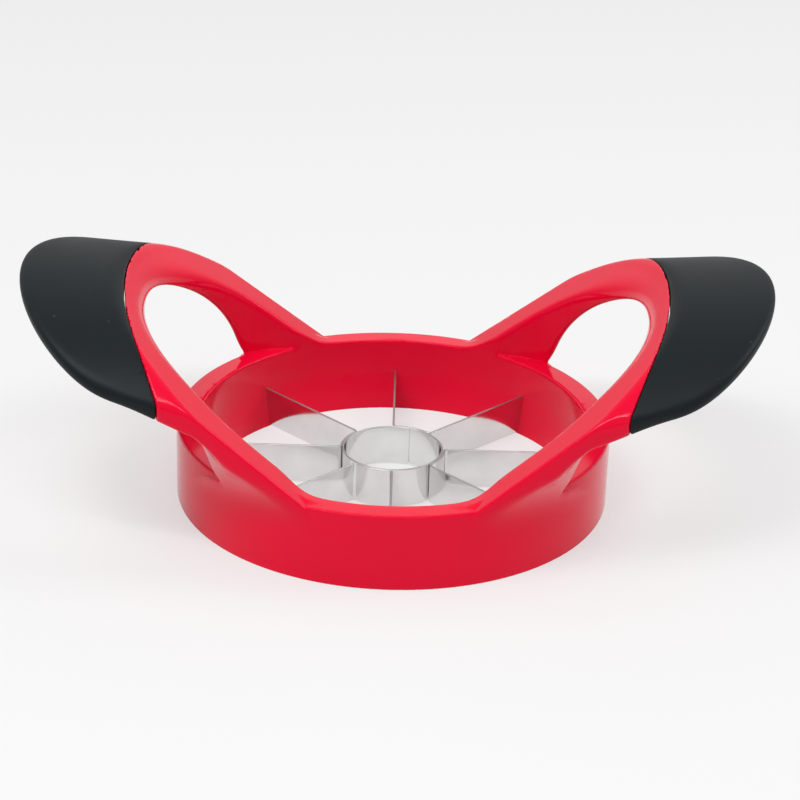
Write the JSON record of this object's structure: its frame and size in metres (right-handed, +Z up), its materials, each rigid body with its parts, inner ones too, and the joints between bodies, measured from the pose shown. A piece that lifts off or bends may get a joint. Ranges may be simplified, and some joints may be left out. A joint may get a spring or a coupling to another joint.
{
  "type": "apple slicer",
  "caption": "Ring-shaped apple slicer with radial steel blades round a coring tube and two upswept loop handles with soft grips.",
  "frame": {"origin": "middle of the ring, on the flat surface that the tool stands on", "axes": "+X from the middle towards the right handle's tip, +Y towards the back, +Z up"},
  "size_m": [0.1764, 0.104, 0.0568],
  "materials": {
    "red_plastic": "glossy moulded red plastic",
    "black_grip": "satin black soft-touch over-moulding",
    "blade_steel": "bright rolled stainless strip"
  },
  "bodies": {
    "root": {"body_frame": "red_plastic", "left_grip": "black_grip", "right_grip": "black_grip", "blade_retaining_ring": "red_plastic", "core_tube": "blade_steel", "blade_strip_back_right": "blade_steel", "blade_strip_back_left": "blade_steel", "blade_strip_front_left": "blade_steel", "blade_strip_front_right": "blade_steel"}
  },
  "joints": []
}
